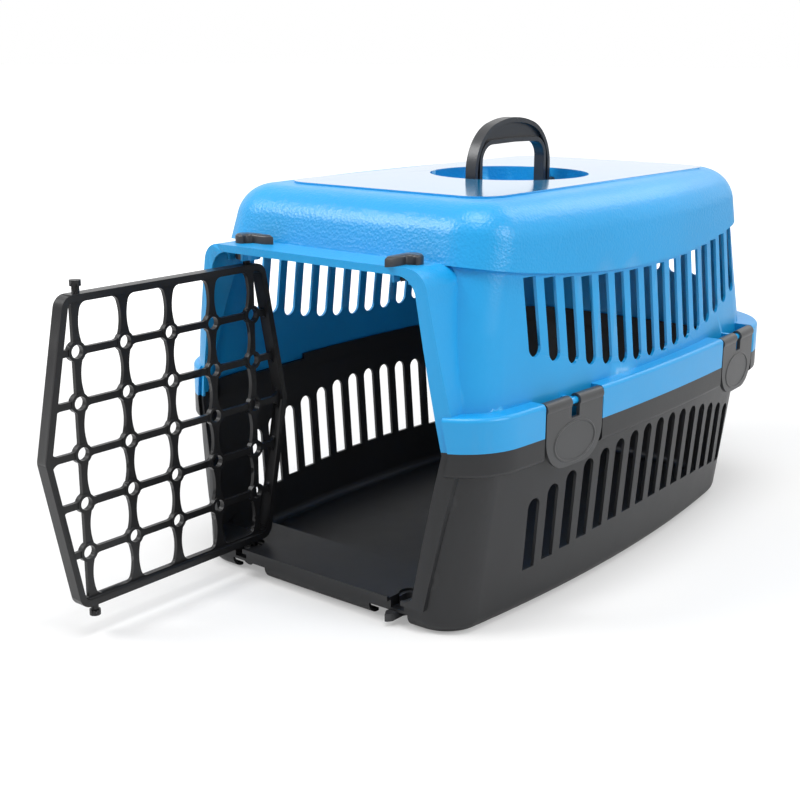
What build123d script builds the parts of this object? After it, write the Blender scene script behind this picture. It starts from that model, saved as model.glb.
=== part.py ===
from build123d import *
from math import asin, degrees, sqrt
import os

os.makedirs("parts", exist_ok=True)

# Two moulded shells meet at the seam. The door end faces -Y, and the base rests on Z = 0.
seam_height = 138.0
roof_height = 301.5
wall = 2.2
end_bow = 2.0

# Bow of the skin's sides towards the front and the rear, from their widest point.
side_bow_front = 14.0
side_bow_rear = 24.0
widest_y = -20.0

# Half-width, front reach, rear reach and round corners of the outer skin at each level.
seam_half_width = 155.0
seam_front = 251.0
seam_rear = 235.0
seam_front_corner = 48.0
seam_rear_corner = 66.0
brow_height = 215.0
brow_half_width = 147.0
brow_front = 233.0
brow_rear = 228.0
roof_half_width = 138.5
roof_front = 207.0
roof_rear = 217.5
hood_front_corner = 40.0
hood_rear_corner = 72.0
shoulder_radius = 30.0
floor_half_width = 141.0
floor_front = 248.0
floor_rear = 220.0
floor_front_corner = 30.0
floor_rear_corner = 75.0
bottom_radius = 10.0

# Side panels of the top lie back from the skin, under the brow. The base's wall lies back as far.
panel_recess = 3.5
step_reach = 200.0
brow_step_middle = 242.0
brow_step_end = 257.5

# Rim bands that stand proud on both sides of the seam.
band_proud = 5.5
band_top = 163.0
band_bottom = 120.0
band_front = 253.0
band_front_corner = 52.0
band_rear_corner = 72.0
band_bow_front = 12.0
band_bow_rear = 16.0
band_widest_y = -8.0
band_edge_radius = 3.5
band_end_gap = 5.5
tongue_height = 5.0
tongue_wall = 2.0
fit_gap = 0.4

# Doorway: a six-sided opening with its widest point near the seam, in a flared frame.
door_middle = 135.5
doorway_top = 256.5
doorway_bottom = 21.5
doorway_half_top = 95.5
doorway_half_middle = 118.0
doorway_half_bottom = 95.5
doorway_top_corner = 16.0
doorway_bottom_corner = 8.0
frame_front = 252.0
frame_top = 262.0
frame_bottom = 8.0
frame_half_top = 104.0
frame_half_middle = 129.0
frame_half_bottom = 104.0
frame_corner = 16.0
frame_depth = 60.0
sill_top = 20.0
sill_rear = 216.0
foot_channel_front = 238.0
foot_channel_half = 104.0
foot_channel_height = 9.0

# Air slots.
slot_count = 16
slot_pitch = 22.4
slot_width = 13.5
slot_half_row = 170.0
top_slot_low_middle = 167.5
top_slot_low_end = 194.0
base_slot_high_middle = 112.0
base_slot_high_end = 88.0
base_slot_low_middle = 43.0
base_slot_low_end = 29.0
slot_margin = 3.0
rear_slot_count = 7

# Roof plate, round well and carry handle.
plate_top = 303.0
plate_half_width = 99.0
plate_front = 174.0
plate_rear = 176.0
plate_corner = 24.0
well_radius = 67.0
well_floor = 282.0
handle_pivot = 291.0
handle_half_span = 56.0
handle_shoulder = 338.0
handle_top = 352.0
handle_corner = 40.0
handle_crown_radius = 90.0
handle_inner_half = 46.0
handle_inner_shoulder = 328.0
handle_inner_top = 329.0
handle_inner_corner = 14.0
handle_grip_width = 10.0
handle_web = 4.0
handle_rim = 3.5
handle_pin_radius = 4.0
handle_boss_radius = 8.0
handle_boss_length = 6.0
handle_pin_end_gap = 1.5

# Door grille, drawn shut and then swung open.
pin_offset = 80.0
hinge_y = -234.0
door_height_middle = 134.0
door_half_height = 111.5
door_half_corner = 94.0
door_half_middle = 116.5
door_corner = 10.0
door_frame_width = 5.0
door_frame_depth = 10.0
lattice_depth = 3.2
lattice_pitch_x = 41.5
lattice_pitch_z = 36.0
lattice_bar = 5.0
lattice_swell = 3.2
cell_corner = 6.0
ring_radius = 7.2
ring_bore = 4.8
ring_rise = 0.6
pin_radius = 2.75
pin_head_radius = 4.0
pin_head_height = 4.0
pin_length = 9.0
door_open_angle = -90.0

# Lock levers that turn in the lintel and sill and hold the door pins.
cup_radius = 8.0
cup_bore = 4.7
cup_depth = 5.0
cup_gap = 0.3
stem_radius = 5.8
lever_cap_radius = 8.0
lever_cap_height = 6.8
lever_length = 24.5
lever_width = 7.5
lever_notch_radius = 4.8
lever_bevel = 1.5
socket_wall = 2.2
socket_front = 246.0
lane_half_width = 6.0
shelf_top = 12.0
shelf_thickness = 2.2
pocket_margin = 2.0

# Side clips on hinge bars.
clip_y = 140.0
clip_room_depth = 26.0
clip_width = 71.0
clip_gap = 1.2
clip_thickness = 3.0
clip_corner = 24.0
clip_bottom = 111.0
clip_bar_radius = 2.6
clip_bar_bore = 2.9
clip_knuckle_radius = 4.9
clip_bar_height = 158.0
clip_bar_inset = 4.0
clip_notch = 10.0
clip_notch_depth = 16.0
clip_hook_width = 4.5
clip_cheek = 3.0
clip_lip_width = 50.0
clip_lip_height = 3.5
catch_height = 124.0
catch_thickness = 4.0
catch_reach = 5.5

far = 400.0


def arc_height(y, y_half, z_end, z_middle):
    """Height at y of the arc through both ends and the middle."""
    rise = z_end - z_middle
    radius = (y_half**2 + rise**2) / (2 * abs(rise))
    drop = radius - sqrt(radius**2 - y**2)
    return z_middle + (drop if rise > 0 else -drop)


def side_arc(half_width, front, rear, front_bow, rear_bow, widest):
    """Plan line of the right side, through its front end, widest point and rear end."""
    return ThreePointArc(
        (half_width - front_bow, -front), (half_width, widest), (half_width - rear_bow, rear)
    )


def closed_plan(side, front, rear, front_corner, rear_corner, z):
    """Plan at one level from the line of its right side, with bowed ends and round corners."""
    x_front = (side @ 0).X
    x_rear = (side @ 1).X
    border = [
        side,
        ThreePointArc((x_rear, rear), (0, rear + end_bow), (-x_rear, rear)),
        mirror(side, Plane.YZ),
        ThreePointArc((-x_front, -front), (0, -front - end_bow), (x_front, -front)),
    ]
    plan = make_face(Curve() + border)
    plan = fillet([v for v in plan.vertices() if v.Y < 0], front_corner)
    plan = fillet(plan.vertices().sort_by(Axis.Y)[-2:], rear_corner)
    return Pos(0, 0, z) * plan


def outline(inset, half_width, front, rear, front_corner, rear_corner, z):
    """Plan of the skin at one level, moved in by inset."""
    front = front - inset
    rear = rear - inset
    side = side_arc(half_width - inset, front, rear, side_bow_front, side_bow_rear, widest_y)
    return closed_plan(side, front, rear, front_corner - inset, rear_corner - inset, z)


def seam_outline(inset, z):
    """Plan of the skin at the seam, moved in by inset."""
    return outline(
        inset, seam_half_width, seam_front, seam_rear, seam_front_corner, seam_rear_corner, z
    )


def band_line(inset):
    """Plan line of the rim band's right side."""
    return side_arc(
        seam_half_width + band_proud - inset,
        band_front - inset,
        seam_rear + band_proud - inset,
        band_bow_front,
        band_bow_rear,
        band_widest_y,
    )


def band_outline(inset, z):
    """Plan of the rim band, moved in by inset."""
    front = band_front - inset
    rear = seam_rear + band_proud - inset
    return closed_plan(
        band_line(inset), front, rear, band_front_corner - inset, band_rear_corner - inset, z
    )


def upper_skin(inset):
    """Top shell's filled form, moved in by inset, with its round shoulder."""
    corners = (hood_front_corner, hood_rear_corner)
    plans = [
        seam_outline(inset, seam_height),
        outline(inset, brow_half_width, brow_front, brow_rear, *corners, brow_height),
        outline(inset, roof_half_width, roof_front, roof_rear, *corners, roof_height - inset),
    ]
    body = loft(plans, ruled=True)
    roof = body.faces().sort_by(Axis.Z)[-1]
    return fillet(roof.edges(), shoulder_radius - inset)


def lower_form(inset):
    """Base's filled form, moved in by inset, with its round bottom edge."""
    corners = (floor_front_corner, floor_rear_corner)
    plans = [
        outline(inset, floor_half_width, floor_front, floor_rear, *corners, inset),
        seam_outline(inset + panel_recess, seam_height),
    ]
    body = loft(plans, ruled=True)
    floor = body.faces().sort_by(Axis.Z)[0]
    return fillet(floor.edges(), bottom_radius - inset)


def side_region(z_end, z_middle, z_flat):
    """Everything between a level and an arc seen from the side."""
    reach = 2 * step_reach
    z_far = arc_height(reach, step_reach, z_end, z_middle)
    border = [
        ThreePointArc((-reach, z_far), (0, z_middle), (reach, z_far)),
        Line((reach, z_far), (reach, z_flat)),
        Line((reach, z_flat), (-reach, z_flat)),
        Line((-reach, z_flat), (-reach, z_far)),
    ]
    return extrude(Plane.YZ * make_face(Curve() + border), amount=far, both=True)


def upper_form(inset):
    """Top shell's form with its panels set back below the brow."""
    region = side_region(brow_step_end + inset, brow_step_middle + inset, 0)
    return upper_skin(inset) - region + upper_skin(inset + panel_recess)


def hexagon_prism(half_top, half_bottom, top, bottom, top_corner, bottom_corner, half_middle, grow):
    """Prism along Y of a six-sided outline, widest at the door's middle, grown by a distance."""
    points = [
        (half_top, top),
        (half_middle, door_middle),
        (half_bottom, bottom),
        (-half_bottom, bottom),
        (-half_middle, door_middle),
        (-half_top, top),
    ]
    shape = make_face(Polyline(*points, close=True))
    shape = fillet([v for v in shape.vertices() if v.Y > top - 1], top_corner)
    shape = fillet([v for v in shape.vertices() if v.Y < bottom + 1], bottom_corner)
    if grow:
        shape = offset(shape, amount=grow)
    start = frame_front + frame_depth
    return extrude(Plane.XZ.offset(start) * shape, amount=-2 * frame_depth)


def doorway(grow):
    """Room of the doorway, grown by a distance."""
    return hexagon_prism(
        doorway_half_top,
        doorway_half_bottom,
        doorway_top,
        doorway_bottom,
        doorway_top_corner,
        doorway_bottom_corner,
        doorway_half_middle,
        grow,
    )


def frame_form(grow):
    """Prism of the frame round the doorway, grown by a distance."""
    return hexagon_prism(
        frame_half_top,
        frame_half_bottom,
        frame_top,
        frame_bottom,
        frame_corner,
        frame_corner,
        frame_half_middle,
        grow,
    )


def frame_block(inset, z_low, z_high):
    """Upright block with the doorway frame's plan."""
    plan = outline(
        inset, seam_half_width, frame_front, seam_rear, seam_front_corner, seam_rear_corner, z_low
    )
    return extrude(plan, amount=z_high - z_low)


def frame_ring(z_low, z_high, lid_low, lid_high):
    """Thin flared frame round the doorway, with its ledge at the top or bottom."""
    outer = frame_block(0, z_low, z_high) & frame_form(0)
    inner = frame_block(wall, z_low + lid_low, z_high - lid_high) & frame_form(-wall)
    return outer - inner


def level_slab(z_low, z_high):
    """Flat slab over the whole plan."""
    return Pos(0, 0, (z_low + z_high) / 2) * Box(2 * far, 2 * far, z_high - z_low)


def band_ring(z_low, z_high, roof_low, roof_high):
    """Rim band as an open channel, with solid cheeks beside each clip."""
    body = extrude(band_outline(0, z_low), amount=z_high - z_low)
    edge = body.faces().sort_by(Axis.Z)[-1 if roof_high else 0].edges()
    body = fillet(edge, band_edge_radius)
    hollow = extrude(band_outline(wall, z_low + roof_low), amount=z_high - z_low - roof_low - roof_high)
    hollow = hollow - [place * clip_space(clip_cheek) for place in clip_places()]
    return body - hollow - doorway(band_end_gap)


def band_side(y):
    """X of the rim band's side at y, and the turn of its outward direction in degrees."""
    line = band_line(0)
    across = y - line.arc_center.Y
    x = line.arc_center.X + sqrt(line.radius**2 - across**2)
    return x, degrees(asin(across / line.radius))


def clip_places():
    """The four clip positions: local X points outwards, local Y runs along the wall."""
    places = []
    for y in (-clip_y, clip_y):
        x, turn = band_side(y)
        places.append(Pos(x, y, 0) * Rot(0, 0, turn))
        places.append(Pos(-x, y, 0) * Rot(0, 0, 180 - turn))
    return places


def clip_space(cheek):
    """Room for one clip in the rim bands, grown by a cheek on each side."""
    width = clip_width + 2 * clip_gap + 2 * cheek
    height = band_top - clip_bottom + 2 * clip_gap
    centre = (band_top + clip_bottom) / 2
    return Pos(0, 0, centre) * Box(2 * clip_room_depth, width, height)


def clip_bar():
    """Hinge bar across the room of one clip, with its middle stay."""
    length = clip_width + 2 * clip_gap + 2
    bar = Rot(90, 0, 0) * Cylinder(clip_bar_radius, length)
    reach = clip_room_depth - clip_bar_inset
    stay = Pos(-reach / 2, 0, 0) * Box(reach, clip_hook_width, 2 * clip_bar_radius)
    return Pos(-clip_bar_inset, 0, clip_bar_height) * (bar + stay)


def clip_catch():
    """Ledge on the base that one clip's lip closes under."""
    length = clip_room_depth - catch_reach
    block = Box(length, clip_lip_width, catch_thickness)
    return Pos(-catch_reach - length / 2, 0, catch_height + catch_thickness / 2) * block


def slot_row(z_low, z_high, count, pitch, round_low):
    """Row of upright slots as prisms along X, one end round and one end square."""
    slots = []
    for i in range(count):
        y = (i - (count - 1) / 2) * pitch
        low = z_low(y)
        high = z_high(y)
        end = low + slot_width / 2 if round_low else high - slot_width / 2
        shape = Pos(y, (low + high) / 2) * Rectangle(slot_width, high - low)
        cap = Pos(y, end) * Circle(slot_width / 2)
        square = Pos(y, (end + (high if round_low else low)) / 2)
        shape = square * Rectangle(slot_width, abs((high if round_low else low) - end)) + cap
        slots.append(extrude(Plane.YZ * shape, amount=far, both=True))
    return slots


def top_slots():
    """Slots of the top shell, hung from the brow."""
    return slot_row(
        lambda y: arc_height(y, slot_half_row, top_slot_low_end, top_slot_low_middle),
        lambda y: arc_height(y, step_reach, brow_step_end, brow_step_middle) - slot_margin,
        slot_count,
        slot_pitch,
        True,
    )


def base_slots():
    """Slots of the base, standing on its foot."""
    return slot_row(
        lambda y: arc_height(y, step_reach, base_slot_low_end, base_slot_low_middle),
        lambda y: arc_height(y, slot_half_row, base_slot_high_end, base_slot_high_middle),
        slot_count,
        slot_pitch,
        False,
    )


def rear_slots():
    """Slots through the rear wall of the top shell."""
    row = slot_row(lambda y: top_slot_low_end, lambda y: brow_step_end - 2 * slot_margin,
                   rear_slot_count, slot_pitch, True)
    front_half = Pos(0, -far, 0) * Box(4 * far, 2 * far, 4 * far)
    return [Rot(0, 0, 90) * slot - front_half for slot in row]


def upright(radius, x, y, z_low, z_high):
    """Upright cylinder."""
    return Pos(x, y, (z_low + z_high) / 2) * Cylinder(radius, z_high - z_low)


def keyhole(side, grow, z_low, z_high):
    """Room round a lever's cup, open to the front for the door pin."""
    x = side * pin_offset
    hole = upright(cup_radius + fit_gap + grow, x, hinge_y, z_low, z_high)
    lane = Box(2 * (lane_half_width + grow), far, z_high - z_low)
    return hole + Pos(x, hinge_y - far / 2, (z_low + z_high) / 2) * lane


def stem_hole(side, z_low, z_high):
    """Hole for a lever's stem."""
    return upright(stem_radius + fit_gap, side * pin_offset, hinge_y, z_low, z_high)


def behind(y):
    """Everything behind a plane across the carrier."""
    return Pos(0, y + far, 0) * Box(4 * far, 2 * far, 4 * far)


def band_tongue():
    """Locating tongue of the base, standing up inside the top shell."""
    lean = (seam_front - brow_front) / (brow_height - seam_height)
    outer = panel_recess + wall + fit_gap + lean * tongue_height
    z_low = seam_height - 2 * tongue_height
    ring = extrude(seam_outline(outer, z_low), amount=3 * tongue_height)
    ring += extrude(seam_outline(panel_recess + 0.75 * wall, z_low), amount=tongue_height)
    ring -= extrude(seam_outline(outer + tongue_wall, z_low), amount=3 * tongue_height)
    return ring - frame_form(fit_gap)


def top_shell():
    """Blue upper half with roof plate, handle well, lintel ledge and rim band."""
    skin = upper_form(0)
    cavity = upper_form(wall)
    shell = skin - cavity
    shell -= frame_form(-wall) & level_slab(0, frame_top - wall)
    shell += frame_ring(seam_height, frame_top, 0, wall) - cavity
    shell += band_ring(seam_height, band_top, 0, wall) - cavity
    shell -= doorway(0)
    shell -= top_slots()
    shell -= rear_slots()
    shell -= [(place * clip_space(0)) - skin for place in clip_places()]
    shell += [(place * clip_bar()) - cavity for place in clip_places()]
    plate = Pos(0, (plate_rear - plate_front) / 2) * RectangleRounded(
        2 * plate_half_width, plate_front + plate_rear, plate_corner
    )
    shell += extrude(Pos(0, 0, roof_height - wall) * plate, amount=plate_top - roof_height + wall)
    shell += upright(well_radius + wall, 0, 0, well_floor - wall, roof_height)
    boss_y = well_radius + wall + handle_boss_length / 2 - 1
    for side in (-1, 1):
        boss = Rot(90, 0, 0) * Cylinder(handle_boss_radius, handle_boss_length)
        shell += Pos(0, side * boss_y, handle_pivot) * boss
    shell -= upright(well_radius, 0, 0, well_floor, far)
    bore = 2 * (boss_y + handle_boss_length / 2 - 1)
    shell -= Pos(0, 0, handle_pivot) * (Rot(90, 0, 0) * Cylinder(handle_pin_radius + fit_gap, bore))
    cup_lip = door_height_middle + door_half_height + pin_length - cup_depth + cup_gap
    for side in (-1, 1):
        collar = keyhole(side, socket_wall, cup_lip, frame_top - wall / 2)
        collar = (collar & behind(-socket_front)) - keyhole(side, 0, 0, frame_top - wall)
        shell += collar
        shell -= stem_hole(side, cup_lip, frame_top + 1)
    return shell


def base_shell():
    """Dark lower half with sill, lever pockets and rim band."""
    cavity = lower_form(wall)
    middle = lower_form(wall / 2)
    shell = lower_form(0) - cavity
    sill = Pos(0, -sill_rear - frame_depth / 2, sill_top / 2) * Box(2 * far, frame_depth, sill_top)
    under = Pos(0, -sill_rear - wall - frame_depth / 2, (sill_top - wall) / 2)
    sill -= under * Box(2 * far, frame_depth, sill_top - wall)
    shell += sill & middle
    shell -= frame_form(-wall) & level_slab(sill_top, far) - behind(-sill_rear)
    ring = frame_ring(sill_top - wall, seam_height, wall, 0)
    shell += ring - (cavity & level_slab(sill_top, far))
    shell += band_ring(band_bottom, seam_height, wall, 0) - cavity
    shell += band_tongue()
    shell -= doorway(0)
    shell -= base_slots()
    shell -= [(place * clip_space(0)) - lower_form(0) for place in clip_places()]
    shell += [(place * clip_catch()) - cavity for place in clip_places()]
    channel_middle = (foot_channel_front + sill_rear + wall) / 2
    channel = Box(
        2 * foot_channel_half, foot_channel_front - sill_rear - wall, 2 * foot_channel_height
    )
    shell -= Pos(0, -channel_middle, 0) * channel
    for side in (-1, 1):
        boss = keyhole(side, socket_wall, shelf_top - shelf_thickness, sill_top)
        shell += boss & middle
        shell -= keyhole(side, 0, shelf_top, doorway_bottom + 1)
        shell -= stem_hole(side, 0, shelf_top + 1)
        outer = side * (pin_offset + lever_cap_radius + 1)
        inner = side * (pin_offset - lever_length - pocket_margin)
        pocket = Box(abs(outer - inner), far, 2 * (shelf_top - shelf_thickness))
        shell -= Pos((outer + inner) / 2, -foot_channel_front + wall - far / 2, 0) * pocket
    return shell


def door_inner_x(z, inset):
    """Half-width of the door's hexagon at height z above its middle, moved in."""
    slope = (door_half_middle - door_half_corner) / door_half_height
    return door_half_middle - slope * abs(z) - inset * sqrt(1 + slope**2)


def door_outline(inset):
    """Door's hexagon in its own plane, centred on its middle height."""
    top = door_half_height - inset
    points = []
    for z_sign, x_sign in ((1, 1), (0, 1), (-1, 1), (-1, -1), (0, -1), (1, -1)):
        points.append((x_sign * door_inner_x(z_sign * top, inset), z_sign * top))
    shape = make_face(Polyline(*points, close=True))
    return fillet(shape.vertices(), door_corner - inset)


def full_cell():
    """Rounded cell whose sides swell between the crossings."""
    x_mid = (lattice_pitch_x - lattice_bar) / 2
    x_end = x_mid - lattice_swell
    z = (lattice_pitch_z - lattice_bar) / 2
    border = [
        Line((-x_end, z), (x_end, z)),
        ThreePointArc((x_end, z), (x_mid, 0), (x_end, -z)),
        Line((x_end, -z), (-x_end, -z)),
        ThreePointArc((-x_end, -z), (-x_mid, 0), (-x_end, z)),
    ]
    cell = make_face(Curve() + border)
    return fillet(cell.vertices(), cell_corner)


def edge_cell(z_low, z_high):
    """Cell between the outer lattice bar and the slanted side of the frame."""
    x_bar = 2 * lattice_pitch_x + lattice_bar / 2
    points = [
        (x_bar, z_low),
        (door_inner_x(z_low, door_frame_width), z_low),
        (door_inner_x(z_high, door_frame_width), z_high),
        (x_bar, z_high),
    ]
    cell = make_face(Polyline(*points, close=True))
    narrow = min(points[1][0], points[2][0]) - x_bar
    return fillet(cell.vertices(), narrow / 3)


def door_grille():
    """Reversible grille door with four headed pins, swung open on its left pins."""
    def deep(shape, depth):
        return extrude(Plane.XZ * shape, amount=depth / 2, both=True)

    rim = door_outline(0) - door_outline(door_frame_width)
    web = door_outline(door_frame_width / 2)
    half = lattice_bar / 2
    inner_top = door_half_height - door_frame_width
    for row in range(-3, 3):
        z_low = max(row * lattice_pitch_z + half, -inner_top)
        z_high = min((row + 1) * lattice_pitch_z - half, inner_top)
        z_middle = (z_low + z_high) / 2
        for column in (-1.5, -0.5, 0.5, 1.5):
            web -= Pos(column * lattice_pitch_x, z_middle) * full_cell()
        web -= edge_cell(z_low, z_high)
        web -= mirror(edge_cell(z_low, z_high), Plane.YZ)
    crossings = [
        Pos(column * lattice_pitch_x, row * lattice_pitch_z)
        for column in range(-2, 3)
        for row in range(-2, 3)
    ]
    rings = [place * Circle(ring_radius) for place in crossings]
    bores = [place * Circle(ring_bore) for place in crossings]
    door = deep(rim, door_frame_depth) + deep(web, lattice_depth)
    door += [deep(ring, lattice_depth + 2 * ring_rise) for ring in rings]
    door -= [deep(bore, door_frame_depth) for bore in bores]
    for x in (-pin_offset, pin_offset):
        for up in (-1, 1):
            root = up * (door_half_height - door_frame_width / 2)
            neck = up * (door_half_height + pin_length - pin_head_height)
            tip = up * (door_half_height + pin_length)
            door += upright(pin_radius, x, 0, min(root, neck), max(root, neck))
            door += upright(pin_head_radius, x, 0, min(neck, tip), max(neck, tip))
    swing = Pos(-pin_offset, hinge_y, 0) * Rot(0, 0, door_open_angle) * Pos(pin_offset, 0, 0)
    return Pos(0, 0, door_height_middle) * swing * door


def lever(side, turn, seat, inner, cup_floor, cup_lip):
    """Lock lever: bar and cap outside the seat, C-shaped cup round the pin inside."""
    def level(shape, z_from, z_to):
        return extrude(Pos(0, 0, min(z_from, z_to)) * shape, amount=abs(z_to - z_from))

    out = 1 if seat > inner else -1
    cap_end = seat + out * lever_cap_height
    left = -lever_cap_radius
    right = left + lever_width
    shoulder = -lever_length + lever_width * 0.8
    bar = make_face(
        Polyline(
            (left, 0),
            (right, 0),
            (right, shoulder),
            (left + lever_width / 2, -lever_length),
            (left, shoulder),
            close=True,
        )
    )
    notch = Pos(lever_cap_radius / 2, -lever_cap_radius) * Circle(lever_notch_radius)
    cap = []
    for shape in (bar, Circle(lever_cap_radius) - notch):
        block = level(shape, seat, cap_end)
        rim = block.faces().sort_by(Axis.Z)[-1 if out > 0 else 0].edges()
        cap.append(chamfer(rim, lever_bevel))
    stem = level(Circle(stem_radius), seat, cup_floor)
    cup = Circle(cup_radius) - Circle(cup_bore)
    lane = Pos(0, -far / 2) * Rectangle(2 * cup_bore, far)
    cup = level(cup - lane, cup_floor, cup_lip)
    disc = level(Circle(cup_radius), inner - out * cup_gap, cup_floor)
    body = cap[0] + cap[1] + stem + cup + disc
    if side < 0:
        body = mirror(body, Plane.YZ)
    return Pos(side * pin_offset, hinge_y, 0) * Rot(0, 0, turn) * body


def upper_lever(side, turn):
    """Lever on the lintel ledge."""
    pin_end = door_height_middle + door_half_height + pin_length
    floor = pin_end + cup_gap
    return lever(side, turn, frame_top, frame_top - wall, floor, floor - cup_depth)


def lower_lever(side, turn):
    """Lever under the shelf of the sill."""
    pin_end = door_height_middle - door_half_height - pin_length
    floor = pin_end - cup_gap
    return lever(side, turn, shelf_top - shelf_thickness, shelf_top, floor, floor + cup_depth)


def side_clip():
    """Clip plate with its hinge knuckle, notch and lip, in the clip's local frame."""
    low = clip_bottom
    height = clip_bar_height - low
    half = clip_width / 2
    face = make_face(
        Polyline((-half, low), (half, low), (half, low + height), (-half, low + height), close=True)
    )
    corners = [v for v in face.vertices() if v.Y < low + 1]
    face = fillet(corners, clip_corner)
    plate = extrude(Plane.YZ.offset(-clip_thickness) * face, amount=clip_thickness)
    knuckle = Rot(90, 0, 0) * Cylinder(clip_knuckle_radius, clip_width)
    bore = Rot(90, 0, 0) * Cylinder(clip_bar_bore, 2 * clip_width)
    mouth = Pos(-clip_knuckle_radius, 0, 0)
    mouth = mouth * Box(2 * clip_knuckle_radius, 2 * clip_width, 2 * clip_bar_bore * 0.8)
    hinge = Pos(-clip_bar_inset, 0, clip_bar_height)
    reach = catch_reach - fit_gap - clip_thickness / 2
    lip_z = catch_height - fit_gap - clip_lip_height / 2
    lip = Pos(-clip_thickness / 2 - reach / 2, 0, lip_z) * Box(reach, clip_lip_width, clip_lip_height)
    notch_top = clip_bar_height + clip_knuckle_radius
    notch = Pos(0, 0, notch_top - clip_notch_depth / 2 + 1)
    notch = notch * Box(4 * clip_knuckle_radius, clip_notch, clip_notch_depth + 2)
    return plate + hinge * knuckle + lip - hinge * (bore + mouth) - notch


def carry_handle():
    """Arched handle: thin web with an outer flange and an inner rim, on two end pins."""
    def arch(half, shoulder, top, corner, low):
        points = [(-half, low), (-half, shoulder), (0, top), (half, shoulder), (half, low)]
        shape = make_face(Polyline(*points, close=True))
        shape = fillet([v for v in shape.vertices() if v.Y > top - 0.01], handle_crown_radius)
        ends = [v for v in shape.vertices() if abs(v.Y - shoulder) < 0.01 and abs(v.X) > half - 1]
        return fillet(ends, corner)

    def thick(shape, width):
        return extrude(Plane.YZ * shape, amount=width / 2, both=True)

    def outside(rim, low):
        return arch(
            handle_half_span - rim, handle_shoulder - rim, handle_top - rim, handle_corner - rim, low
        )

    def inside(rim, low):
        return arch(
            handle_inner_half + rim,
            handle_inner_shoulder + rim,
            handle_inner_top + rim,
            handle_inner_corner + rim,
            low,
        )

    low = handle_pivot
    under = handle_pivot - handle_boss_radius
    handle = thick(outside(0, low) - inside(0, under), handle_web)
    handle += thick(outside(0, low) - outside(handle_rim, under), handle_grip_width)
    handle += thick((inside(handle_rim, under) & outside(0, low)) - inside(0, under), handle_grip_width)
    leg_middle = (handle_half_span + handle_inner_half) / 2
    leg_width = handle_half_span - handle_inner_half
    for side in (-1, 1):
        foot = Rot(90, 0, 0) * Cylinder(handle_grip_width / 2, leg_width)
        handle += Pos(0, side * leg_middle, handle_pivot) * foot
        reach = well_radius + wall + handle_boss_length - 1 - handle_pin_end_gap - leg_middle
        pin = Rot(90, 0, 0) * Cylinder(handle_pin_radius, reach)
        handle += Pos(0, side * (leg_middle + reach / 2), handle_pivot) * pin
    return handle


export_step(base_shell(), "parts/base_shell.step")
export_step(top_shell(), "parts/top_shell.step")
export_step(door_grille(), "parts/door_grille.step")
export_step(upper_lever(-1, 90), "parts/lever_top_left.step")
export_step(upper_lever(1, 0), "parts/lever_top_right.step")
export_step(lower_lever(-1, 90), "parts/lever_bottom_left.step")
export_step(lower_lever(1, 0), "parts/lever_bottom_right.step")
export_step(carry_handle(), "parts/carry_handle.step")
clip_names = ("clip_right_front", "clip_left_front", "clip_right_rear", "clip_left_rear")
for name, place in zip(clip_names, clip_places()):
    export_step(place * side_clip(), f"parts/{name}.step")
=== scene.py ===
import bpy
import bmesh
import math
from mathutils import Matrix, Vector


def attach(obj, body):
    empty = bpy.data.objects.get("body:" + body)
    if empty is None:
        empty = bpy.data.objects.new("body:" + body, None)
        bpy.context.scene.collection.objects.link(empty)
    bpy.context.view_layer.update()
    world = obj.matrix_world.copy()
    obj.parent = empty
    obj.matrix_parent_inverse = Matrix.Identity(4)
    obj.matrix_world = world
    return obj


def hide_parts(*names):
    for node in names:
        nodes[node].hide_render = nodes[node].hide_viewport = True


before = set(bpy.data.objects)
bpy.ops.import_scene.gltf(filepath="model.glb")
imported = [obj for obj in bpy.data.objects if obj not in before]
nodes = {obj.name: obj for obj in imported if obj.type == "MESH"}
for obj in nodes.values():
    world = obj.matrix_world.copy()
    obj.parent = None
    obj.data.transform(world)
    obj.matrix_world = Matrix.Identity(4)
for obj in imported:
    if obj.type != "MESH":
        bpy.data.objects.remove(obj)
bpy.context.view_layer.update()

# Base shell: the lower half of the carrier, one injection moulding in charcoal polypropylene. It
# stands on its flat underside. The mould left a satin texture and slightly rounded edges on it,
# and handling has made the satin uneven.


def feed(tree, socket, value):
    """Gives a socket a number, a colour, or what another socket says."""
    if isinstance(value, bpy.types.NodeSocket):
        tree.links.new(value, socket)
    else:
        socket.default_value = value


def map_range(tree, source, low, high, to_low, to_high):
    """Value carried over from one range to another."""
    node = tree.nodes.new("ShaderNodeMapRange")
    ends = {"From Min": low, "From Max": high, "To Min": to_low, "To Max": to_high}
    for name, value in ends.items():
        feed(tree, node.inputs[name], value)
    feed(tree, node.inputs["Value"], source)
    return node.outputs["Result"]


def maths(tree, kind, *values):
    """One step of arithmetic between sockets or numbers."""
    node = tree.nodes.new("ShaderNodeMath")
    node.operation = kind
    for index, value in enumerate(values):
        feed(tree, node.inputs[index], value)
    return node.outputs[0]


def noise(tree, place, scale, detail, roughness):
    """Noise over the part's own coordinates."""
    node = tree.nodes.new("ShaderNodeTexNoise")
    feed(tree, node.inputs["Vector"], place)
    feed(tree, node.inputs["Scale"], scale)
    feed(tree, node.inputs["Detail"], detail)
    feed(tree, node.inputs["Roughness"], roughness)
    return node.outputs["Fac"]


def part_place(tree):
    """Coordinates that belong to the part itself."""
    return tree.nodes.new("ShaderNodeTexCoord").outputs["Object"]


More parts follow.
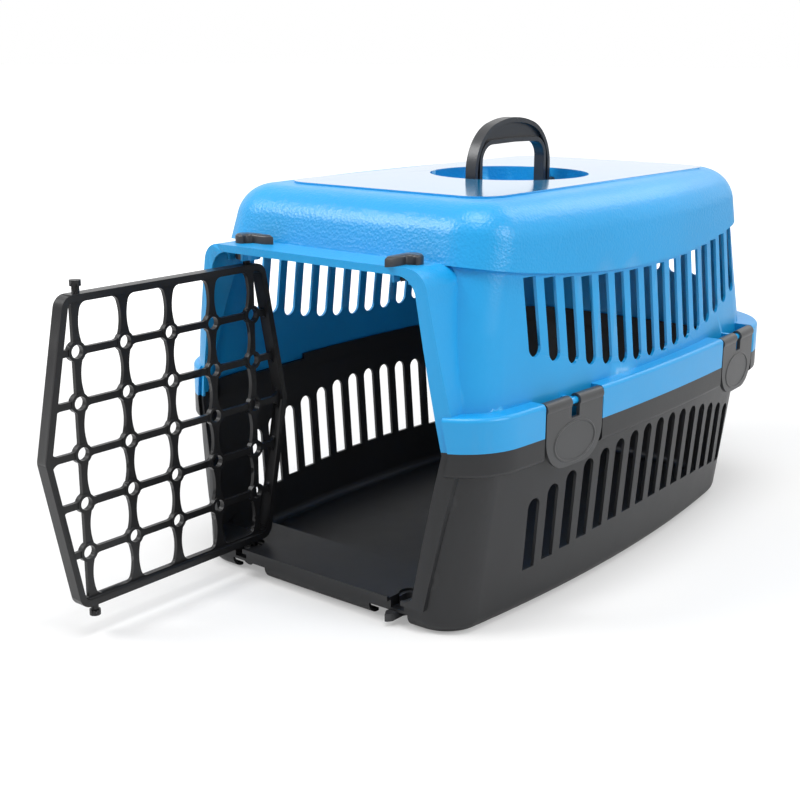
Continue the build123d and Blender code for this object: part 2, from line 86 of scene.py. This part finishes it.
def new_group(name, inputs, outputs):
    """Empty shader group with its sockets, and the sockets to work with inside it."""
    group = bpy.data.node_groups.new(name, "ShaderNodeTree")
    for label, kind, value in inputs:
        socket = group.interface.new_socket(name=label, in_out="INPUT", socket_type=kind)
        socket.default_value = value
    for label, kind in outputs:
        group.interface.new_socket(name=label, in_out="OUTPUT", socket_type=kind)
    given = group.nodes.new("NodeGroupInput").outputs
    result = group.nodes.new("NodeGroupOutput").inputs
    return group, given, result


def use_group(tree, group, values):
    """A shader group set into a material or into another group."""
    node = tree.nodes.new("ShaderNodeGroup")
    node.node_tree = group
    for name, value in values.items():
        feed(tree, node.inputs[name], value)
    return node


def moulded_texture_group():
    """Mould texture: fine grain for the bump, faint mottling of colour, and handling marks."""
    group, given, result = new_group(
        "moulded_texture",
        [
            ("Colour", "NodeSocketColor", (0.5, 0.5, 0.5, 1)),
            ("Mottle", "NodeSocketFloat", 0.06),
            ("Roughness", "NodeSocketFloat", 0.45),
            ("Rough Spread", "NodeSocketFloat", 0.08),
            ("Grain Size", "NodeSocketFloat", 900.0),
        ],
        [
            ("Colour", "NodeSocketColor"),
            ("Roughness", "NodeSocketFloat"),
            ("Height", "NodeSocketFloat"),
        ],
    )
    place = part_place(group)
    cloud = map_range(group, noise(group, place, 9.0, 5.0, 0.5), 0.3, 0.7, -1.0, 1.0)
    tint = group.nodes.new("ShaderNodeVectorMath")
    tint.operation = "SCALE"
    feed(group, tint.inputs[0], given["Colour"])
    feed(group, tint.inputs["Scale"], maths(group, "MULTIPLY_ADD", cloud, given["Mottle"], 1.0))
    feed(group, result["Colour"], tint.outputs["Vector"])
    marks = maths(group, "SUBTRACT", noise(group, place, 38.0, 8.0, 0.65), 0.5)
    rough = maths(group, "MULTIPLY_ADD", marks, given["Rough Spread"], given["Roughness"])
    feed(group, result["Roughness"], rough)
    feed(group, result["Height"], noise(group, place, given["Grain Size"], 3.0, 0.55))
    return group


moulded_texture = moulded_texture_group()


def plastic(name, colour, roughness, mottle=0.05, grain=900.0, depth=0.00012, specular=0.5):
    """Injection-moulded plastic with its mould texture."""
    material = bpy.data.materials.new(name)
    material.use_nodes = True
    tree = material.node_tree
    texture = use_group(
        tree,
        moulded_texture,
        {
            "Colour": (*colour, 1),
            "Mottle": mottle,
            "Roughness": roughness,
            "Rough Spread": 0.10,
            "Grain Size": grain,
        },
    )
    texture.name = "texture"
    bump = tree.nodes.new("ShaderNodeBump")
    bump.name = "bump"
    feed(tree, bump.inputs["Strength"], 0.5)
    feed(tree, bump.inputs["Distance"], depth)
    feed(tree, bump.inputs["Height"], texture.outputs["Height"])
    shader = tree.nodes["Principled BSDF"]
    feed(tree, shader.inputs["Base Color"], texture.outputs["Colour"])
    feed(tree, shader.inputs["Roughness"], texture.outputs["Roughness"])
    feed(tree, shader.inputs["Normal"], bump.outputs["Normal"])
    feed(tree, shader.inputs["IOR"], 1.49)
    feed(tree, shader.inputs["Specular IOR Level"], specular)
    return material


def show(name, mesh, material):
    """A mesh as an object of the scene, in its material."""
    mesh.materials.clear()
    mesh.materials.append(material)
    piece = bpy.data.objects.new(name, mesh)
    bpy.context.scene.collection.objects.link(piece)
    return piece


def rounded_part(node, body, width, material, flat=0.8):
    """The moulded part with its sharp edges rounded, in place of its plain form."""
    weld = 0.00001
    rounded_from = math.radians(32)
    creased_from = math.radians(48)
    source = nodes[node]
    mesh = source.data.copy()
    if "custom_normal" in mesh.attributes:
        mesh.attributes.remove(mesh.attributes["custom_normal"])
    work = bmesh.new()
    work.from_mesh(mesh)
    bmesh.ops.remove_doubles(work, verts=work.verts, dist=weld)
    bmesh.ops.dissolve_limit(
        work, angle_limit=math.radians(flat), verts=work.verts, edges=work.edges
    )
    sharp = [
        edge
        for edge in work.edges
        if len(edge.link_faces) == 2 and edge.calc_face_angle(0) > rounded_from
    ]
    bmesh.ops.bevel(
        work,
        geom=sharp,
        offset=width,
        segments=2,
        profile=0.6,
        affect="EDGES",
        clamp_overlap=True,
        miter_outer="ARC",
    )
    bmesh.ops.remove_doubles(work, verts=work.verts, dist=weld)
    for face in work.faces:
        face.smooth = True
    work.to_mesh(mesh)
    work.free()
    mesh.set_sharp_from_angle(angle=creased_from)
    piece = show(node + "_moulding", mesh, material)
    piece.matrix_world = source.matrix_world.copy()
    normals = piece.modifiers.new("normals", "WEIGHTED_NORMAL")
    normals.keep_sharp = True
    normals.weight = 60
    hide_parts(node)
    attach(piece, body)


charcoal = plastic(
    "charcoal_shell", (0.0095, 0.0100, 0.0115), 0.40, grain=1100.0, depth=0.0001, specular=0.42
)
rounded_part("base_shell", "base", 0.0006, charcoal, flat=0.02)

# Top shell: the upper half, moulded in sky blue polypropylene and set over the base's tongue. Its
# hood has a coarse leather grain, its sides are satin, and the roof plate is polished, so it
# mirrors the bright room.
HOOD_LEVEL = 0.232
HOOD_EDGE = 0.030
PLATE_LEVEL = 0.3022
PLATE_EDGE = 0.0006


def leather_group():
    """Leather grain: soft cells of two sizes, for the bump."""
    group, given, result = new_group(
        "leather_grain",
        [("Cell Scale", "NodeSocketFloat", 520.0)],
        [("Height", "NodeSocketFloat")],
    )
    place = part_place(group)
    cells = group.nodes.new("ShaderNodeTexVoronoi")
    cells.feature = "SMOOTH_F1"
    feed(group, cells.inputs["Smoothness"], 0.5)
    feed(group, cells.inputs["Vector"], place)
    feed(group, cells.inputs["Scale"], given["Cell Scale"])
    small_scale = maths(group, "MULTIPLY", given["Cell Scale"], 2.3)
    small = noise(group, place, small_scale, 2.0, 0.5)
    height = maths(group, "MULTIPLY_ADD", small, 0.45, cells.outputs["Distance"])
    feed(group, result["Height"], height)
    return group


def level_mask_group():
    """How far a point lies above a level of the part, from 0 to 1 over a soft edge."""
    group, given, result = new_group(
        "level_mask",
        [("Level", "NodeSocketFloat", 0.25), ("Edge", "NodeSocketFloat", 0.01)],
        [("Mask", "NodeSocketFloat")],
    )
    parts = group.nodes.new("ShaderNodeSeparateXYZ")
    feed(group, parts.inputs[0], part_place(group))
    above = maths(group, "SUBTRACT", parts.outputs["Z"], given["Level"])
    mask = group.nodes.new("ShaderNodeClamp")
    feed(group, mask.inputs["Value"], maths(group, "DIVIDE", above, given["Edge"]))
    feed(group, result["Mask"], mask.outputs[0])
    return group


level_mask = level_mask_group()


def top_finish_group():
    """Finish by level: leather grain on the hood, and polish with soft waves on the roof plate."""
    group, given, result = new_group(
        "top_finish",
        [
            ("Fine Height", "NodeSocketFloat", 0.5),
            ("Leather Height", "NodeSocketFloat", 0.5),
            ("Roughness", "NodeSocketFloat", 0.32),
        ],
        [
            ("Height", "NodeSocketFloat"),
            ("Roughness", "NodeSocketFloat"),
            ("Coat Weight", "NodeSocketFloat"),
        ],
    )
    hood = use_group(group, level_mask, {"Level": HOOD_LEVEL, "Edge": HOOD_EDGE}).outputs["Mask"]
    plate = use_group(group, level_mask, {"Level": PLATE_LEVEL, "Edge": PLATE_EDGE}).outputs["Mask"]
    leather_share = maths(group, "MULTIPLY_ADD", hood, 1.6, 0.25)
    coarse = maths(group, "MULTIPLY", given["Leather Height"], leather_share)
    whole = maths(group, "MULTIPLY_ADD", given["Fine Height"], 0.25, coarse)
    off_plate = maths(group, "SUBTRACT", 1.0, plate)
    matt = maths(group, "MULTIPLY", whole, off_plate)
    waves = maths(group, "MULTIPLY", noise(group, part_place(group), 70.0, 3.0, 0.6), plate)
    feed(group, result["Height"], maths(group, "MULTIPLY_ADD", waves, 1.2, matt))
    polish = maths(group, "MULTIPLY", plate, -0.22)
    feed(group, result["Roughness"], maths(group, "ADD", given["Roughness"], polish))
    feed(group, result["Coat Weight"], plate)
    return group


sky_blue = plastic(
    "sky_blue_shell", (0.008, 0.320, 0.690), 0.32, mottle=0.04, grain=1000.0, depth=0.00022
)
tree = sky_blue.node_tree
texture = tree.nodes["texture"]
leather = use_group(tree, leather_group(), {"Cell Scale": 480.0})
finish = use_group(
    tree,
    top_finish_group(),
    {
        "Fine Height": texture.outputs["Height"],
        "Leather Height": leather.outputs["Height"],
        "Roughness": texture.outputs["Roughness"],
    },
)
feed(tree, tree.nodes["bump"].inputs["Height"], finish.outputs["Height"])
shader = tree.nodes["Principled BSDF"]
feed(tree, shader.inputs["Roughness"], finish.outputs["Roughness"])
feed(tree, shader.inputs["Coat Weight"], finish.outputs["Coat Weight"])
feed(tree, shader.inputs["Coat Roughness"], 0.13)
feed(tree, shader.inputs["Coat IOR"], 1.7)
rounded_part("top_shell", "top", 0.0006, sky_blue, flat=0.02)

# Door grille: black polypropylene lattice, with four headed pins moulded on it. Its bars are
# rounded, and it is a little smoother than the shells. It hangs from two pins in the levers.
door_black = plastic("door_black", (0.010, 0.010, 0.011), 0.30, specular=0.34)
rounded_part("door_grille", "door", 0.0012, door_black)

# Lock levers: two on the lintel and two under the sill, each turned by its flat bar. They are
# dark grey acetal, a harder and glossier plastic than the shells.
lever_grey = plastic("lever_grey", (0.030, 0.031, 0.034), 0.30)
for corner in ("top_left", "top_right", "bottom_left", "bottom_right"):
    rounded_part("lever_" + corner, "lever_" + corner, 0.0006, lever_grey)

# Side clips: four flat hooks in dark grey plastic, snapped on hinge bars of the top shell. A
# raised oval bead on each shows where the thumb pulls it open.
clip_grey = plastic("clip_grey", (0.038, 0.039, 0.041), 0.40)
RING_HALF_WIDTH = 0.0255
RING_HALF_HEIGHT = 0.0150
RING_LEVEL = 0.1290
RING_TURNS = 64
BEAD = [(-0.0012, -0.0003), (-0.0008, 0.0004), (0, 0.0007), (0.0008, 0.0004), (0.0012, -0.0003)]


def thumb_ring(name, body, centre, outward):
    """Raised oval bead on a clip's outer face: the bead's section carried round an oval."""
    up = Vector((0, 0, 1))
    along = up.cross(outward)
    rows = len(BEAD)
    points = []
    faces = []
    for step in range(RING_TURNS):
        angle = 2 * math.pi * step / RING_TURNS
        for across, rise in BEAD:
            wide = along * math.cos(angle) * (RING_HALF_WIDTH + across)
            high = up * math.sin(angle) * (RING_HALF_HEIGHT + across)
            points.append(centre + wide + high + outward * rise)
        for row in range(rows):
            a = step * rows + row
            b = step * rows + (row + 1) % rows
            ahead = ((step + 1) % RING_TURNS - step) * rows
            faces.append((a, b, b + ahead, a + ahead))
    mesh = bpy.data.meshes.new(name)
    mesh.from_pydata(points, [], faces)
    work = bmesh.new()
    work.from_mesh(mesh)
    bmesh.ops.recalc_face_normals(work, faces=work.faces)
    work.to_mesh(mesh)
    work.free()
    mesh.shade_smooth()
    piece = show(name, mesh, clip_grey)
    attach(piece, body)


for side in ("right", "left"):
    for end in ("front", "rear"):
        clip = f"clip_{side}_{end}"
        rounded_part(clip, clip, 0.0007, clip_grey)
        to_world = nodes[clip].matrix_world
        facing_out = [
            polygon
            for polygon in nodes[clip].data.polygons
            if abs(polygon.normal.x) > 0.9 and (polygon.normal.x > 0) == (side == "right")
        ]
        outer = max(facing_out, key=lambda polygon: polygon.area)
        outward = (to_world.to_3x3() @ outer.normal).normalized()
        reach = [(to_world @ vertex.co).y for vertex in nodes[clip].data.vertices]
        middle_y = (min(reach) + max(reach)) / 2
        on_face = to_world @ outer.center
        shift = (on_face.y - middle_y) * outward.y / outward.x
        centre = Vector((on_face.x + shift, middle_y, RING_LEVEL))
        thumb_ring(clip + "_thumb_ring", clip, centre, outward)

# Carry handle: one arched moulding in black plastic on two end pins, with an outer flange and
# an inner rim round a thin web. Hands have polished it a little.
handle_black = plastic("handle_black", (0.026, 0.027, 0.030), 0.33, mottle=0.08)
rounded_part("carry_handle", "handle", 0.0016, handle_black)

# Floor: a plain sheet of pale matt board under the carrier, which keeps the carrier's shadow. It
# carries a share of white for the camera only, and more of it further out.
FLOOR_REACH = 30
FLOOR_DROP = 0.0002
WHITE_SHARE = 0.32
NEAR, NEAR_WHITE = 0.45, 0.98
FAR, FAR_WHITE = 1.3, 2.8
floor_material = bpy.data.materials.new("studio_floor")
floor_material.use_nodes = True
tree = floor_material.node_tree
board = tree.nodes["Principled BSDF"]
feed(tree, board.inputs["Base Color"], (0.90, 0.90, 0.90, 1))
feed(tree, board.inputs["Roughness"], 0.7)
distance = tree.nodes.new("ShaderNodeVectorMath")
distance.operation = "LENGTH"
feed(tree, distance.inputs[0], part_place(tree))
white = tree.nodes.new("ShaderNodeEmission")
glow = map_range(tree, distance.outputs["Value"], NEAR, FAR, NEAR_WHITE, FAR_WHITE)
feed(tree, white.inputs["Strength"], glow)
seen = tree.nodes.new("ShaderNodeLightPath")
blend = tree.nodes.new("ShaderNodeMixShader")
feed(tree, blend.inputs[0], maths(tree, "MULTIPLY", seen.outputs["Is Camera Ray"], WHITE_SHARE))
feed(tree, blend.inputs[1], board.outputs[0])
feed(tree, blend.inputs[2], white.outputs[0])
feed(tree, tree.nodes["Material Output"].inputs["Surface"], blend.outputs[0])
floor_mesh = bpy.data.meshes.new("studio_floor")
floor_mesh.from_pydata(
    [(x * FLOOR_REACH, y * FLOOR_REACH, 0) for x, y in ((-1, -1), (1, -1), (1, 1), (-1, 1))],
    [],
    [(0, 1, 2, 3)],
)
floor = show("studio_floor", floor_mesh, floor_material)
floor.location.z = -FLOOR_DROP

# Studio: a white room, bright to the camera and in reflections and dim as a light, with four
# soft round lamps hung round the carrier and aimed at it.
ROOM_LIGHT = 0.32
ROOM_SEEN = 1.0
world = bpy.data.worlds.new("studio")
bpy.context.scene.world = world
world.use_nodes = True
tree = world.node_tree
background = tree.nodes["Background"]
feed(tree, background.inputs["Color"], (1, 1, 1, 1))
seen = tree.nodes.new("ShaderNodeLightPath")
either = maths(tree, "MAXIMUM", seen.outputs["Is Camera Ray"], seen.outputs["Is Glossy Ray"])
feed(tree, background.inputs["Strength"], map_range(tree, either, 0.0, 1.0, ROOM_LIGHT, ROOM_SEEN))


def soft_lamp(name, place, target, size, power):
    """Round soft lamp at a place, aimed at a target."""
    lamp = bpy.data.lights.new(name, "AREA")
    lamp.shape = "DISK"
    lamp.size = size
    lamp.energy = power
    holder = bpy.data.objects.new(name, lamp)
    bpy.context.scene.collection.objects.link(holder)
    holder.location = place
    aim = Vector(target) - Vector(place)
    holder.rotation_euler = aim.to_track_quat("-Z", "Y").to_euler()


soft_lamp("lamp_front", (-1.1, -1.3, 1.6), (0, -0.1, 0.2), 1.0, 25)
soft_lamp("lamp_top", (0.3, -0.5, 2.5), (0, 0, 0.2), 1.4, 36)
soft_lamp("lamp_right", (2.0, 0.2, 1.3), (0, 0, 0.2), 1.0, 17)
soft_lamp("lamp_rear", (0.35, 1.75, 1.65), (0, 0, 0.2), 1.2, 8)

# Camera: where the photograph was taken from, in front of the carrier's right corner. Its angles
# are in radians, and its focal length was fitted in pixels of the 800-pixel picture.
FOCAL_PIXELS = 1303.38
PICTURE_PIXELS = 800
YAW = 0.674985
PITCH = 0.261216
ROLL = 0.003258
lens = bpy.data.cameras.new("photo_view")
lens.sensor_width = 36.0
lens.lens = FOCAL_PIXELS / PICTURE_PIXELS * lens.sensor_width
camera = bpy.data.objects.new("photo_view", lens)
bpy.context.scene.collection.objects.link(camera)
forward = Vector((-math.sin(YAW) * math.cos(PITCH), math.cos(YAW) * math.cos(PITCH), -math.sin(PITCH)))
turn = forward.to_track_quat("-Z", "Y").to_matrix() @ Matrix.Rotation(ROLL, 3, "Z")
camera.matrix_world = Matrix.Translation((0.62615, -0.92913, 0.40188)) @ turn.to_4x4()
bpy.context.scene.camera = camera
bpy.context.scene.view_settings.view_transform = "Standard"
